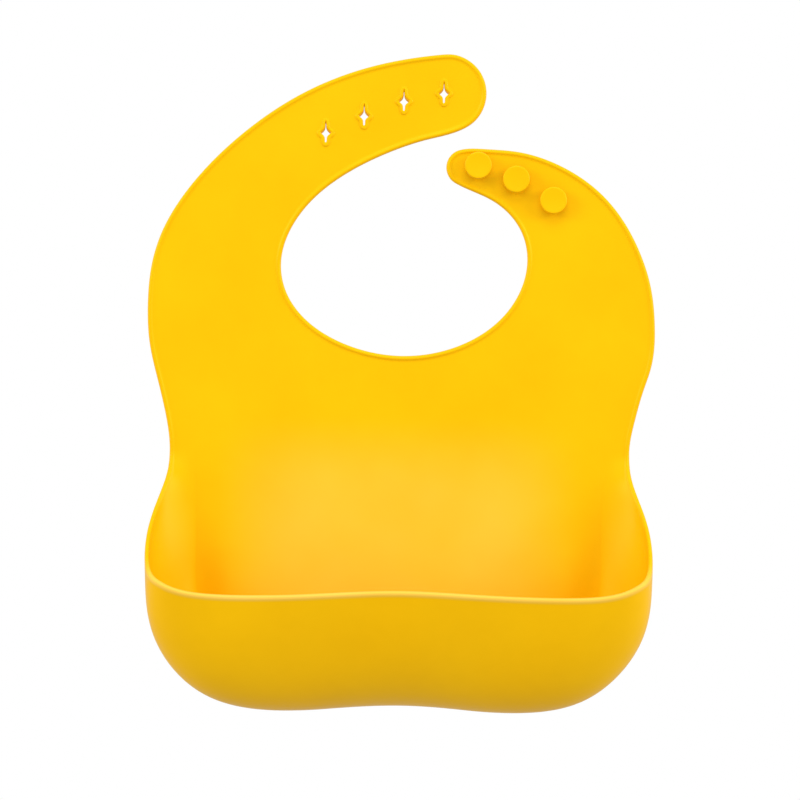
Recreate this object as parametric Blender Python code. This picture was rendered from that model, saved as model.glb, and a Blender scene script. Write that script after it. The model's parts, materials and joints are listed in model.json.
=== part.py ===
"""Silicone bib with a catch-all pocket, a single moulding divided along its flex lines.

Frame: +Z is up as the bib is worn, its front faces -Y, and the origin is the middle of the
neck opening, halfway through the sheet. Dimensions are in millimetres, and MM turns them
into the scene's metres. Flat outlines are (x, z) pairs.
"""

import math

import bmesh
import bpy
import numpy as np

MM = 0.001

# The sheet and its edge.
SHEET = 2.0                  # thickness of the moulded sheet
BEAD_WIDTH = 2.4             # edge bead, seen from the front
BEAD_HEIGHT = 3.2            # edge bead, front to back
FLEX_GAP = 0.5               # clearance at a flex line
SEAM_GAP = 0.4               # clearance between regions at rest against each other
CREASE_GAP = 0.8             # clearance along the pocket's crease, where it flexes
LONGEST_STEP = 9.0           # spacing of outline points on a straight stretch
SHARPEST_TURN = 15.0         # degrees of turn between outline points on a tight one
SMOOTH_BELOW = 40.0          # degrees between faces that are shaded as one smooth surface
STRAIGHT = 0.02              # sine of the turn below which an outline counts as straight

# The outline, clockwise from the left end of the waist to the right end.
WAIST_Z = -86.0
WAIST_HALF = 104.2
LEFT_EDGE = [(-WAIST_HALF, WAIST_Z), (-106.0, -71.0), (-109.9, -54.7), (-113.7, -38.4),
             (-114.8, -19.3), (-113.0, -1.0), (-108.8, 12.5), (-98.1, 30.8), (-73.9, 56.4),
             (-46.9, 75.3), (-19.7, 86.9)]
HOLE_TIP_CENTRE = (20.0, 76.7)
HOLE_TIP_RADIUS = 17.8
HOLE_TIP_ARC = (102.0, -68.0)
NECK_EDGE = [(10.6, 55.4), (-5.3, 49.9), (-27.0, 38.7), (-45.4, 22.2), (-54.6, -1.6),
             (-51.3, -15.9), (-43.0, -26.7), (-25.2, -37.5), (0.7, -42.6), (27.8, -37.2),
             (45.0, -25.8), (53.0, -14.8), (57.0, -0.4), (55.0, 12.4), (47.6, 23.2),
             (40.3, 28.5)]
STUD_TIP_CENTRE = (28.2, 43.1)
STUD_TIP_RADIUS = 8.3
STUD_TIP_ARC = (246.0, 98.0)
RIGHT_EDGE = [(37.4, 51.6), (53.2, 50.3), (71.5, 44.4), (89.7, 32.3), (98.9, 21.9),
              (108.2, 5.2), (112.9, -8.8), (115.2, -27.0), (113.7, -46.9), (110.2, -57.8),
              (106.6, -71.0), (WAIST_HALF, WAIST_Z)]

# Flex lines across the sheet, each from its inner (or left) end to its outer (or right) end.
SHOULDER_Z = 5.0
HOLE_FLEX = [((-53.5, SHOULDER_Z), (-111.5, SHOULDER_Z)),
             ((-38.5, 29.7), (-69.0, 59.7)),
             ((-1.6, 51.2), (-15.9, 87.9))]
STUD_FLEX = [((56.5, SHOULDER_Z), (108.3, SHOULDER_Z)),
             ((51.7, 17.5), (67.3, 46.3))]
FOLD_Z = (-50.0, -64.0, -78.0)
FOLD_ENDS = 112.0

# Fastening.
HOLE_CENTRES = [(-34.9, 57.7), (-17.6, 65.6), (0.4, 72.6), (18.5, 76.4)]
HOLE_HALF_HEIGHT = 5.5
HOLE_HALF_WIDTH = 2.3
HOLE_WAIST = (0.5, 1.6)      # the star's inner corners, from its middle
STUD_CENTRES = [(34.3, 43.9), (51.6, 37.8), (68.5, 28.4)]
STUD_NECK_RADIUS = 3.0
STUD_HEAD_RADIUS = 6.1
STUD_NECK_LENGTH = 3.0
STUD_HEAD_HEIGHT = 2.0
STUD_EDGE = 0.6              # rounding of the head
STUD_SIDES = 24

# The pocket, right half, from the waist round the corner to the middle of the bottom. Each
# row is a section: its crease on the back panel, the two corners that pull it outwards and
# forwards, and its end on the rim.
SECTIONS = [
    [(91.5, 0.0, -86.0), (95.7, 0.0, -86.0), (100.0, 0.0, -86.0), (104.2, 0.0, -86.0)],
    [(91.5, 0.0, -100.0), (94.5, 0.0, -100.0), (102.0, -3.0, -99.2), (105.4, -5.0, -98.5)],
    [(91.5, 0.0, -114.0), (94.5, 0.0, -114.0), (107.0, -8.0, -112.2), (109.2, -13.0, -111.0)],
    [(91.5, 0.0, -130.0), (94.5, 0.0, -130.0), (112.0, -15.0, -128.0), (111.8, -24.5, -125.0)],
    [(91.0, 0.0, -148.0), (95.0, 0.0, -149.0), (114.8, -21.0, -151.5), (110.9, -37.5, -138.0)],
    [(83.7, 0.0, -169.7), (91.0, 0.0, -175.5), (114.2, -25.0, -180.4), (105.0, -45.0, -144.0)],
    [(66.7, 0.0, -184.0), (74.8, 0.0, -199.0), (91.6, -28.5, -203.0), (90.0, -48.5, -148.4)],
    [(42.0, 0.0, -188.0), (45.5, 0.0, -204.4), (59.6, -28.5, -208.3), (60.0, -49.6, -149.2)],
    [(20.5, 0.0, -188.0), (22.0, 0.0, -203.0), (29.7, -28.0, -206.1), (30.0, -50.0, -148.0)],
    [(0.0, 0.0, -188.0), (0.0, 0.0, -202.0), (0.0, -28.0, -204.5), (0.0, -50.0, -147.0)],
]
CORNER_PULL = 2.2            # how closely a section follows its two corners
SECTION_STEPS = 440          # points of a section's polyline
SIDE_SECTIONS = 5.5          # sections that belong to a side before the front begins
FLOOR_SHARE = 0.45           # share of a front section's length that is floor
COLUMNS_PER_SECTION = 3
SIDE_ROWS = 8
FLOOR_ROWS = 7
FRONT_ROWS = 5

# Silicone, linear colour.
SILICONE_COLOUR = (0.990, 0.590, 0.004, 1.0)
SILICONE_ROUGHNESS = 0.42

# Distance from an edge and half thickness there, for a beaded edge and for a rounded cut.
BEAD_REACH = BEAD_WIDTH / 2 * (1 + math.sqrt(1 - (SHEET / BEAD_HEIGHT) ** 2))
BEAD_STEPS = [0.15 * BEAD_WIDTH, 0.5 * BEAD_WIDTH, 0.73 * BEAD_WIDTH, BEAD_REACH]
CUT_STEPS = [0.13, 0.45, 0.75, 1.0]


def bead_half(distance):
    """Half thickness of the sheet at a distance from its beaded edge: an ellipse, then flat."""
    across = 1 - distance / (BEAD_WIDTH / 2)
    bead = BEAD_HEIGHT / 2 * math.sqrt(max(0.0, 1 - across * across))
    return bead if distance < BEAD_WIDTH / 2 else max(bead, SHEET / 2)


def cut_half(distance):
    """Half thickness of the sheet at a distance from a rounded cut: a full round, then flat."""
    across = 1 - min(distance / (SHEET / 2), 1.0)
    return SHEET / 2 * math.sqrt(1 - across * across)


BEAD_PROFILE = [(step, bead_half(step)) for step in BEAD_STEPS]
CUT_PROFILE = [(step, cut_half(step)) for step in CUT_STEPS]


def spline(knots, values, at):
    """Natural cubic spline through the values at the knots, read at the given places."""
    knots = np.asarray(knots, float)
    values = np.asarray(values, float)
    at = np.asarray(at, float)
    gaps = np.diff(knots)
    count = len(knots)
    system = np.eye(count)
    target = np.zeros_like(values)
    for i in range(1, count - 1):
        system[i, i - 1:i + 2] = gaps[i - 1], 2 * (gaps[i - 1] + gaps[i]), gaps[i]
        rise_after = (values[i + 1] - values[i]) / gaps[i]
        rise_before = (values[i] - values[i - 1]) / gaps[i - 1]
        target[i] = 6 * (rise_after - rise_before)
    bend = np.linalg.solve(system, target)
    i = np.clip(np.searchsorted(knots, at) - 1, 0, count - 2)
    gap = gaps[i][:, None]
    before = (knots[i + 1] - at)[:, None] / gap
    after = 1 - before
    curve = (before ** 3 - before) * bend[i] + (after ** 3 - after) * bend[i + 1]
    return before * values[i] + after * values[i + 1] + curve * gap ** 2 / 6


def curve_through(points, spacing=0.5):
    """A dense smooth polyline through the points."""
    points = np.array(points, float)
    knots = np.append(0.0, np.cumsum(np.linalg.norm(np.diff(points, axis=0), axis=1)))
    at = np.linspace(0.0, knots[-1], int(knots[-1] / spacing) + 1)
    return spline(knots, points, at)


def arc_points(centre, radius, angles, count=9):
    """Points on an arc between two angles in degrees."""
    turn = np.radians(np.linspace(angles[0], angles[1], count))
    return [(centre[0] + radius * math.cos(a), centre[1] + radius * math.sin(a)) for a in turn]


class Outline:
    """The bib's free edge as one path from the left end of the waist to the right end."""

    def __init__(self):
        hole_tip = arc_points(HOLE_TIP_CENTRE, HOLE_TIP_RADIUS, HOLE_TIP_ARC)
        stud_tip = arc_points(STUD_TIP_CENTRE, STUD_TIP_RADIUS, STUD_TIP_ARC)
        self.points = curve_through(LEFT_EDGE + hole_tip + NECK_EDGE + stud_tip + RIGHT_EDGE)
        steps = np.diff(self.points, axis=0)
        lengths = np.linalg.norm(steps, axis=1)
        self.place = np.append(0.0, np.cumsum(lengths))
        heading = np.unwrap(np.arctan2(steps[:, 1], steps[:, 0]))
        turns = np.degrees(np.abs(np.diff(heading, prepend=heading[0])))
        self.effort = np.append(0.0, np.cumsum(lengths / LONGEST_STEP + turns / SHARPEST_TURN))

    def at(self, place):
        """The point at a distance along the path."""
        return np.array([np.interp(place, self.place, self.points[:, k]) for k in (0, 1)])

    def crossing(self, flex, offset, end):
        """Where the path crosses a flex line moved sideways by offset, near its end 0 or 1."""
        start, stop = np.array(flex[0]), np.array(flex[1])
        along = (stop - start) / np.linalg.norm(stop - start)
        side = np.array([-along[1], along[0]])
        height = (self.points - start) @ side - offset
        changes = np.nonzero(height[:-1] * height[1:] <= 0)[0]
        target = np.array(flex[end])
        nearest = min(changes, key=lambda i: np.linalg.norm(self.points[i] - target))
        share = height[nearest] / (height[nearest] - height[nearest + 1])
        return self.place[nearest] + share * (self.place[nearest + 1] - self.place[nearest])

    def stretch(self, first, last):
        """Points along the path between two places, closer together where it turns."""
        efforts = np.interp([first, last], self.place, self.effort)
        count = max(2, math.ceil(efforts[1] - efforts[0]) + 1)
        places = np.interp(np.linspace(efforts[0], efforts[1], count), self.effort, self.place)
        return [self.at(place) for place in places]


def fold_line(height):
    """A level flex line right across the bib."""
    return ((-FOLD_ENDS, height), (FOLD_ENDS, height))


def mirrored(rows):
    """The right-hand rows, then the same rows on the left, in one run from right to left."""
    left = [[(-x, y, z) for x, y, z in row] for row in reversed(rows[:-1])]
    return np.array(rows + left, float)


SECTION_TABLE = mirrored(SECTIONS)


def section(place):
    """The pocket's section at a place in the table, as a dense polyline from crease to rim."""
    knots = np.arange(len(SECTION_TABLE))
    flat = SECTION_TABLE.reshape(len(SECTION_TABLE), -1)
    corners = spline(knots, flat, [place]).reshape(4, 3)
    t = np.linspace(0.0, 1.0, SECTION_STEPS)[:, None]
    weights = [(1 - t) ** 3, 3 * CORNER_PULL * t * (1 - t) ** 2,
               3 * CORNER_PULL * t ** 2 * (1 - t), t ** 3]
    return sum(w * c for w, c in zip(weights, corners)) / sum(weights)


def section_points(place, distances):
    """Points at distances along a section; a negative one counts back from the rim."""
    line = section(place)
    run = np.append(0.0, np.cumsum(np.linalg.norm(np.diff(line, axis=0), axis=1)))
    wanted = [d if d >= 0 else run[-1] + d for d in distances]
    return np.array([np.interp(wanted, run, line[:, k]) for k in range(3)]).T


def section_length(place):
    """Length of a section from crease to rim."""
    return float(np.sum(np.linalg.norm(np.diff(section(place), axis=0), axis=1)))


def clear_scene():
    """Removes whatever the scene holds."""
    for item in list(bpy.data.objects):
        bpy.data.objects.remove(item)


def silicone(name):
    """A soft satin silicone material."""
    material = bpy.data.materials.new(name)
    material.use_nodes = True
    shader = material.node_tree.nodes["Principled BSDF"]
    shader.inputs["Base Color"].default_value = SILICONE_COLOUR
    shader.inputs["Roughness"].default_value = SILICONE_ROUGHNESS
    shader.inputs["Metallic"].default_value = 0.0
    return material


def body(name, pivot, parent=None):
    """An empty on a region's flex line, which its pieces are parented to."""
    empty = bpy.data.objects.new(name, None)
    bpy.context.scene.collection.objects.link(empty)
    empty["pivot"] = pivot
    origin = np.array(parent["pivot"]) if parent else np.zeros(3)
    empty.parent = parent
    empty.location = (np.array(pivot) - origin) * MM
    return empty


def piece(name, points, faces, holder):
    """A closed mesh object from points in millimetres, on its body's empty."""
    mesh = bpy.data.meshes.new(name)
    local = (np.array(points) - np.array(holder["pivot"])) * MM
    mesh.from_pydata(local.tolist(), [], faces)
    work = bmesh.new()
    work.from_mesh(mesh)
    bmesh.ops.recalc_face_normals(work, faces=work.faces)
    work.to_mesh(mesh)
    work.free()
    mesh.shade_smooth()
    mesh.set_sharp_from_angle(angle=math.radians(SMOOTH_BELOW))
    mesh.materials.append(silicone(name + "_silicone"))
    made = bpy.data.objects.new(name, mesh)
    bpy.context.scene.collection.objects.link(made)
    made.parent = holder
    return made


def inset(points, profiles, level):
    """The closed outline moved into the material by one profile step, with its half thickness."""
    count = len(points)
    moved = []
    halves = []
    for i in range(count):
        before, here, after = points[i - 1], points[i], points[(i + 1) % count]
        first = (here - before) / np.linalg.norm(here - before)
        second = (after - here) / np.linalg.norm(after - here)
        normals = np.array([(first[1], -first[0]), (second[1], -second[0])])
        steps = np.array([profiles[i - 1][level][0], profiles[i][level][0]])
        if abs(np.linalg.det(normals)) > STRAIGHT:
            moved.append(here + np.linalg.solve(normals, steps))
        else:
            moved.append(here + normals.mean(axis=0) * steps.mean())
        halves.append(min(profiles[i - 1][level][1], profiles[i][level][1]))
    return moved, halves


def plate(name, stretches, holder):
    """A flat region: beaded along its stretches of free edge, rounded along the cuts between.

    Each stretch is (points, profile). A cut joins the last point of one to the first of the
    next.
    """
    points = []
    profiles = []
    for run, profile in stretches:
        points.extend(run)
        profiles.extend([profile] * (len(run) - 1) + [CUT_PROFILE])
    count = len(points)
    verts = [(x, 0.0, z) for x, z in points]
    rings = {1: [list(range(count))], -1: [list(range(count))]}
    for level in range(len(BEAD_PROFILE)):
        moved, halves = inset(points, profiles, level)
        for face in (1, -1):
            rings[face].append(list(range(len(verts), len(verts) + count)))
            verts.extend((x, face * half, z) for (x, z), half in zip(moved, halves))
    faces = []
    for face in (1, -1):
        for outer, inner in zip(rings[face], rings[face][1:]):
            for i in range(count):
                j = (i + 1) % count
                faces.append((outer[i], outer[j], inner[j], inner[i])[::face])
        faces.append(tuple(rings[face][-1])[::face])
    return piece(name, verts, faces, holder)


def shell(name, columns, halves, holder):
    """A curved region from a grid of points: columns of points, and each row's half thickness.

    A row whose half thickness is zero closes the edge on a single line.
    """
    grid = np.array(columns)
    across = np.gradient(grid, axis=0)
    along = np.gradient(grid, axis=1)
    normal = np.cross(across, along)
    normal /= np.linalg.norm(normal, axis=2)[:, :, None]
    wide, tall = grid.shape[:2]
    offset = np.array(halves)[None, :, None] * normal
    verts = list((grid + offset).reshape(-1, 3)) + list((grid - offset).reshape(-1, 3))
    shared = wide * tall

    def top(i, j):
        return i * tall + j

    def under(i, j):
        return i * tall + j + (shared if halves[j] > 0 else 0)

    faces = []
    for i in range(wide - 1):
        for j in range(tall - 1):
            faces.append((top(i, j), top(i + 1, j), top(i + 1, j + 1), top(i, j + 1)))
            faces.append((under(i, j + 1), under(i + 1, j + 1), under(i + 1, j), under(i, j)))
        for j in (0, tall - 1):
            if halves[j] > 0:
                faces.append((top(i, j), top(i + 1, j), under(i + 1, j), under(i, j)))
    for j in range(tall - 1):
        for i in (0, wide - 1):
            ring = (top(i, j), top(i, j + 1), under(i, j + 1), under(i, j))
            faces.append(tuple(dict.fromkeys(ring)))
    made = piece(name, verts, faces, holder)
    drop_loose(made)
    return made


def drop_loose(made):
    """Removes the doubled points that a closing row leaves unused."""
    work = bmesh.new()
    work.from_mesh(made.data)
    bmesh.ops.delete(work, geom=[v for v in work.verts if not v.link_faces], context="VERTS")
    work.to_mesh(made.data)
    work.free()


def pocket_grid(first, last, near, far, rows):
    """Columns of pocket points between two section places, and the half thickness of each row.

    near and far are shares of each section's length, and 1 means up to the beaded rim.
    """
    count = math.ceil((last - first) * COLUMNS_PER_SECTION) + 1
    to_rim = far == 1
    halves = [SHEET / 2] * (rows + 1)
    if to_rim:
        halves += [half for _, half in reversed(BEAD_PROFILE[:-1])] + [0.0]
    columns = []
    for place in np.linspace(first, last, count):
        length = section_length(place)
        start = near * length + (SEAM_GAP if near > 0 else CREASE_GAP) / 2
        stop = length - BEAD_REACH if to_rim else far * length - SEAM_GAP / 2
        distances = list(np.linspace(start, stop, rows + 1))
        if to_rim:
            distances += [length - step for step, _ in reversed(BEAD_PROFILE[:-1])] + [length]
        columns.append(section_points(place, distances))
    grid = np.array(columns)
    waist = (0, len(SECTION_TABLE) - 1)
    for end, inner, place in ((0, 1, first), (-1, -2, last)):
        step = grid[inner] - grid[end]
        gap = CREASE_GAP if place in waist else SEAM_GAP / 2
        grid[end] += step / np.linalg.norm(step, axis=1)[:, None] * gap
    return grid, halves


def star_cutter(number, centre, holder):
    """A four-pointed star prism that cuts one button hole."""
    dx, dz = HOLE_WAIST
    corners = [(0, HOLE_HALF_HEIGHT), (dx, dz), (HOLE_HALF_WIDTH, 0), (dx, -dz),
               (0, -HOLE_HALF_HEIGHT), (-dx, -dz), (-HOLE_HALF_WIDTH, 0), (-dx, dz)]
    count = len(corners)
    verts = [(centre[0] + x, y, centre[1] + z) for y in (-SHEET, SHEET) for x, z in corners]
    faces = [tuple(range(count)), tuple(range(2 * count - 1, count - 1, -1))]
    for i in range(count):
        j = (i + 1) % count
        faces.append((i, j, count + j, count + i))
    cutter = piece(f"cutter_{number}", verts, faces, holder)
    cutter.hide_render = True
    cutter.display_type = "WIRE"
    return cutter


def cut_hole(strap, cutter):
    """Cuts a button hole through a strap region."""
    hole = strap.modifiers.new(cutter.name, "BOOLEAN")
    hole.operation = "DIFFERENCE"
    hole.solver = "EXACT"
    hole.object = cutter


def stud(number, centre, holder):
    """A mushroom stud, turned about its own axis, standing on the strap's front face."""
    base = SHEET / 2 + SEAM_GAP
    under = base + STUD_NECK_LENGTH
    top = under + STUD_HEAD_HEIGHT
    bevel = STUD_EDGE * (1 - math.sqrt(0.5))
    turned = [(STUD_NECK_RADIUS, base), (STUD_NECK_RADIUS, under),
              (STUD_HEAD_RADIUS - STUD_EDGE, under),
              (STUD_HEAD_RADIUS - bevel, under + bevel),
              (STUD_HEAD_RADIUS, under + STUD_EDGE),
              (STUD_HEAD_RADIUS, top - STUD_EDGE),
              (STUD_HEAD_RADIUS - bevel, top - bevel),
              (STUD_HEAD_RADIUS - STUD_EDGE, top)]
    verts = []
    for radius, height in turned:
        for k in range(STUD_SIDES):
            turn = 2 * math.pi * k / STUD_SIDES
            x = centre[0] + radius * math.cos(turn)
            z = centre[1] + radius * math.sin(turn)
            verts.append((x, -height, z))
    faces = [tuple(range(STUD_SIDES))]
    faces.append(tuple(len(verts) - 1 - k for k in range(STUD_SIDES)))
    for ring in range(len(turned) - 1):
        for k in range(STUD_SIDES):
            near = ring * STUD_SIDES + k
            beside = ring * STUD_SIDES + (k + 1) % STUD_SIDES
            faces.append((near, near + STUD_SIDES, beside + STUD_SIDES, beside))
    return piece(f"stud_{number}", verts, faces, holder)


def middle(flex):
    """The middle of a flex line, as a point in space."""
    return [(flex[0][0] + flex[1][0]) / 2, 0.0, (flex[0][1] + flex[1][1]) / 2]


def make_bodies():
    """The tree of empties, one on each flex line."""
    chest = body("chest", [0.0, 0.0, 0.0])
    bodies = {"chest": chest}
    parent = chest
    for name, flex in zip(("hole_root", "hole_middle", "hole_tip"), HOLE_FLEX):
        parent = body(name, middle(flex), parent)
        bodies[name] = parent
    parent = chest
    for name, flex in zip(("stud_root", "stud_tip"), STUD_FLEX):
        parent = body(name, middle(flex), parent)
        bodies[name] = parent
    parent = chest
    for name, height in zip(("band_upper", "band_lower", "lower_panel"), FOLD_Z):
        parent = body(name, [0.0, 0.0, height], parent)
        bodies[name] = parent
    crease_bottom = list(SECTIONS[-1][0])
    bodies["pocket"] = body("pocket", crease_bottom, parent)
    return bodies


def beaded(outline, first, last):
    """A stretch of free edge with its bead."""
    return (outline.stretch(first, last), BEAD_PROFILE)


def strap_regions(outline, bodies):
    """Both straps, cut at their flex lines. Seen from the front, the path meets the hole
    strap's outer edge first and the stud strap's outer edge last."""
    half = FLEX_GAP / 2
    names = ("hole_strap_root", "hole_strap_middle")
    for k, name in enumerate(names):
        near, far = HOLE_FLEX[k], HOLE_FLEX[k + 1]
        plate(name, [
            beaded(outline, outline.crossing(near, -half, 1), outline.crossing(far, half, 1)),
            beaded(outline, outline.crossing(far, half, 0), outline.crossing(near, -half, 0)),
        ], bodies[("hole_root", "hole_middle")[k]])
    tip = HOLE_FLEX[-1]
    plate("hole_strap_tip", [
        beaded(outline, outline.crossing(tip, -half, 1), outline.crossing(tip, -half, 0)),
    ], bodies["hole_tip"])
    near, far = STUD_FLEX
    plate("stud_strap_root", [
        beaded(outline, outline.crossing(near, half, 0), outline.crossing(far, -half, 0)),
        beaded(outline, outline.crossing(far, -half, 1), outline.crossing(near, half, 1)),
    ], bodies["stud_root"])
    plate("stud_strap_tip", [
        beaded(outline, outline.crossing(far, half, 0), outline.crossing(far, half, 1)),
    ], bodies["stud_tip"])


def chest_regions(outline, bodies):
    """The chest panel round the neck opening, and the two bands under it."""
    half = FLEX_GAP / 2
    hole, stud_side = HOLE_FLEX[0], STUD_FLEX[0]
    folds = [fold_line(height) for height in FOLD_Z]
    plate("chest_panel", [
        beaded(outline, outline.crossing(folds[0], half, 0), outline.crossing(hole, half, 1)),
        beaded(outline, outline.crossing(hole, half, 0), outline.crossing(stud_side, -half, 0)),
        beaded(outline, outline.crossing(stud_side, -half, 1), outline.crossing(folds[0], half, 1)),
    ], bodies["chest"])
    for k, name in enumerate(("band_upper", "band_lower")):
        above, below = folds[k], folds[k + 1]
        plate("fold_" + name, [
            beaded(outline, outline.crossing(below, half, 0), outline.crossing(above, -half, 0)),
            beaded(outline, outline.crossing(above, -half, 1), outline.crossing(below, half, 1)),
        ], bodies[name])


def back_panel(outline, bodies):
    """The flat sheet behind the pocket, down to the crease where the pocket begins."""
    fold = fold_line(FOLD_Z[-1])
    places = np.linspace(0, len(SECTION_TABLE) - 1, 2 * len(SECTION_TABLE) + 3)
    crease = np.array([section_points(place, [0.0])[0] for place in places])[:, [0, 2]]
    run = np.gradient(crease, axis=0)
    run /= np.linalg.norm(run, axis=1)[:, None]
    inward = np.stack([run[:, 1], -run[:, 0]], axis=1)
    crease = crease + inward * CREASE_GAP / 2
    plate("pocket_back_panel", [
        beaded(outline, 0.0, outline.crossing(fold, -FLEX_GAP / 2, 0)),
        beaded(outline, outline.crossing(fold, -FLEX_GAP / 2, 1), outline.place[-1]),
        (list(crease), CUT_PROFILE),
    ], bodies["lower_panel"])


def pocket_regions(bodies):
    """The moulded pocket: two sides, a floor and a front wall."""
    last = len(SECTION_TABLE) - 1
    holder = bodies["pocket"]
    for name, first, stop in (("pocket_side_right", 0.0, SIDE_SECTIONS),
                              ("pocket_side_left", last - SIDE_SECTIONS, last)):
        grid, halves = pocket_grid(first, stop, 0.0, 1, SIDE_ROWS)
        shell(name, grid, halves, holder)
    grid, halves = pocket_grid(SIDE_SECTIONS, last - SIDE_SECTIONS, 0.0, FLOOR_SHARE, FLOOR_ROWS)
    shell("pocket_floor", grid, halves, holder)
    grid, halves = pocket_grid(SIDE_SECTIONS, last - SIDE_SECTIONS, FLOOR_SHARE, 1, FRONT_ROWS)
    shell("pocket_front_wall", grid, halves, holder)


def fastening(bodies):
    """Button holes through the one strap, studs on the other."""
    straps = ("hole_strap_middle", "hole_strap_middle", "hole_strap_tip", "hole_strap_tip")
    for number, (centre, strap_name) in enumerate(zip(HOLE_CENTRES, straps), 1):
        strap = bpy.data.objects[strap_name]
        cut_hole(strap, star_cutter(number, centre, strap.parent))
    holders = ("stud_tip", "stud_tip", "stud_root")
    for number, (centre, holder) in enumerate(zip(STUD_CENTRES, holders), 1):
        stud(number, centre, bodies[holder])


def build():
    """The whole bib."""
    clear_scene()
    outline = Outline()
    bodies = make_bodies()
    chest_regions(outline, bodies)
    strap_regions(outline, bodies)
    back_panel(outline, bodies)
    pocket_regions(bodies)
    fastening(bodies)


build()
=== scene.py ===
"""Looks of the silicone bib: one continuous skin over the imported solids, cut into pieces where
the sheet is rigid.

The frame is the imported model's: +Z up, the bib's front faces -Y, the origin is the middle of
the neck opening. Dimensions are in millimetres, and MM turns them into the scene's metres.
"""

import json
import math

import bpy
import numpy as np
from mathutils import Euler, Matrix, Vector
from mathutils.geometry import delaunay_2d_cdt


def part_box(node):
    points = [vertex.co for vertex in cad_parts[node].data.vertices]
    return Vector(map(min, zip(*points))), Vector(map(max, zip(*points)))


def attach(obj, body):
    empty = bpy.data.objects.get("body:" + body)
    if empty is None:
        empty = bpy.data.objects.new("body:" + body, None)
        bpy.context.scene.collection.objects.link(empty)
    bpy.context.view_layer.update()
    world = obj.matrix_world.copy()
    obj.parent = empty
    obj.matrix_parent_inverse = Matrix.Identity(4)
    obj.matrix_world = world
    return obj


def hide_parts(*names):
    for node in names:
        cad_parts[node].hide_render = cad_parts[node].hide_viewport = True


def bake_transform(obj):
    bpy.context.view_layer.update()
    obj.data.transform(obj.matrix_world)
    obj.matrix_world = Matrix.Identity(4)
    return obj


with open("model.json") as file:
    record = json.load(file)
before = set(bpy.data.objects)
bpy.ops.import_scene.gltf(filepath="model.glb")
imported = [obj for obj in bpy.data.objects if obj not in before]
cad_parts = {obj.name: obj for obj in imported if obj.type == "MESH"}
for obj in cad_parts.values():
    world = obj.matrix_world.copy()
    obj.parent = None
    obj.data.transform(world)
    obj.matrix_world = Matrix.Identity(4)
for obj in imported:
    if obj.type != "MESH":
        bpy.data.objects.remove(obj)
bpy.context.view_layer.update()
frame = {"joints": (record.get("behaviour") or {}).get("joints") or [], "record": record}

MM = 0.001
FRONT = np.array([0.0, -1.0, 0.0])

# The sheet and its edge bead: an ellipse with a row of points at each of some angles, then a
# fillet, as distances from the edge with half the thickness there.
SHEET = 2.0
BEAD_WIDTH = 2.4
BEAD_HEIGHT = 3.2
BEAD_ANGLES = (0, 18, 36, 54, 72, 90, 105, 118)
BEAD_FILLET = [(2.01, 1.257), (2.26, 1.140), (2.5, 1.059), (2.75, 1.014), (3.0, 1.0), (3.5, 1.0)]

# The free edge, clockwise from the left end of the waist to the right end.
WAIST_Z = -86.0
WAIST_HALF = 104.2
LEFT_EDGE = [(-WAIST_HALF, WAIST_Z), (-106.0, -71.0), (-109.9, -54.7), (-113.7, -38.4),
             (-114.8, -19.3), (-113.0, -1.0), (-108.8, 12.5), (-98.1, 30.8), (-73.9, 56.4),
             (-46.9, 75.3), (-19.7, 86.9)]
HOLE_TIP_CENTRE = (20.0, 76.7)
HOLE_TIP_RADIUS = 17.8
HOLE_TIP_ARC = (102.0, -68.0)
NECK_EDGE = [(10.6, 55.4), (-5.3, 49.9), (-27.0, 38.7), (-45.4, 22.2), (-54.6, -1.6),
             (-51.3, -15.9), (-43.0, -26.7), (-25.2, -37.5), (0.7, -42.6), (27.8, -37.2),
             (45.0, -25.8), (53.0, -14.8), (57.0, -0.4), (55.0, 12.4), (47.6, 23.2),
             (40.3, 28.5)]
STUD_TIP_CENTRE = (28.2, 43.1)
STUD_TIP_RADIUS = 8.3
STUD_TIP_ARC = (246.0, 98.0)
RIGHT_EDGE = [(37.4, 51.6), (53.2, 50.3), (71.5, 44.4), (89.7, 32.3), (98.9, 21.9),
              (108.2, 5.2), (112.9, -8.8), (115.2, -27.0), (113.7, -46.9), (110.2, -57.8),
              (106.6, -71.0), (WAIST_HALF, WAIST_Z)]
EDGE_STEP = 1.6              # spacing of the skin's columns along a straight edge
EDGE_TURN = 5.0              # degrees of turn between columns on a tight one
PATH_STEP = 0.25             # spacing of the points that the path is measured on
CREST_FOOT = 2.7             # distance from the edge at which the bead's crest has ended
CREST_FADE = 1.4             # distance over which it ends

# Where each piece of the skin begins along the free edge. A piece that appears twice is cut
# straight across between the two stretches.
PIECES_ALONG_EDGE = [
    ("pocket", (-104.2, -86.0)), ("fold_lower", (-104.3, -85.0)), ("fold_upper", (-106.0, -71.0)),
    ("chest", (-109.3, -57.0)), ("hole_strap_lower", (-114.0, -10.0)),
    ("hole_strap_upper", (-93.0, 37.0)), ("hole_strap_end", (-35.0, 80.8)),
    ("hole_strap_upper", (-17.6, 44.0)), ("hole_strap_lower", (-47.5, 19.0)),
    ("chest", (-53.4, -9.0)), ("stud_strap_lower", (54.8, -9.0)), ("stud_strap_end", (55.4, 11.5)),
    ("stud_strap_lower", (100.0, 20.0)), ("chest", (112.9, -9.0)), ("fold_upper", (110.0, -57.0)),
    ("fold_lower", (106.6, -71.0)), ("pocket", (104.3, -85.0)),
]

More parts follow.
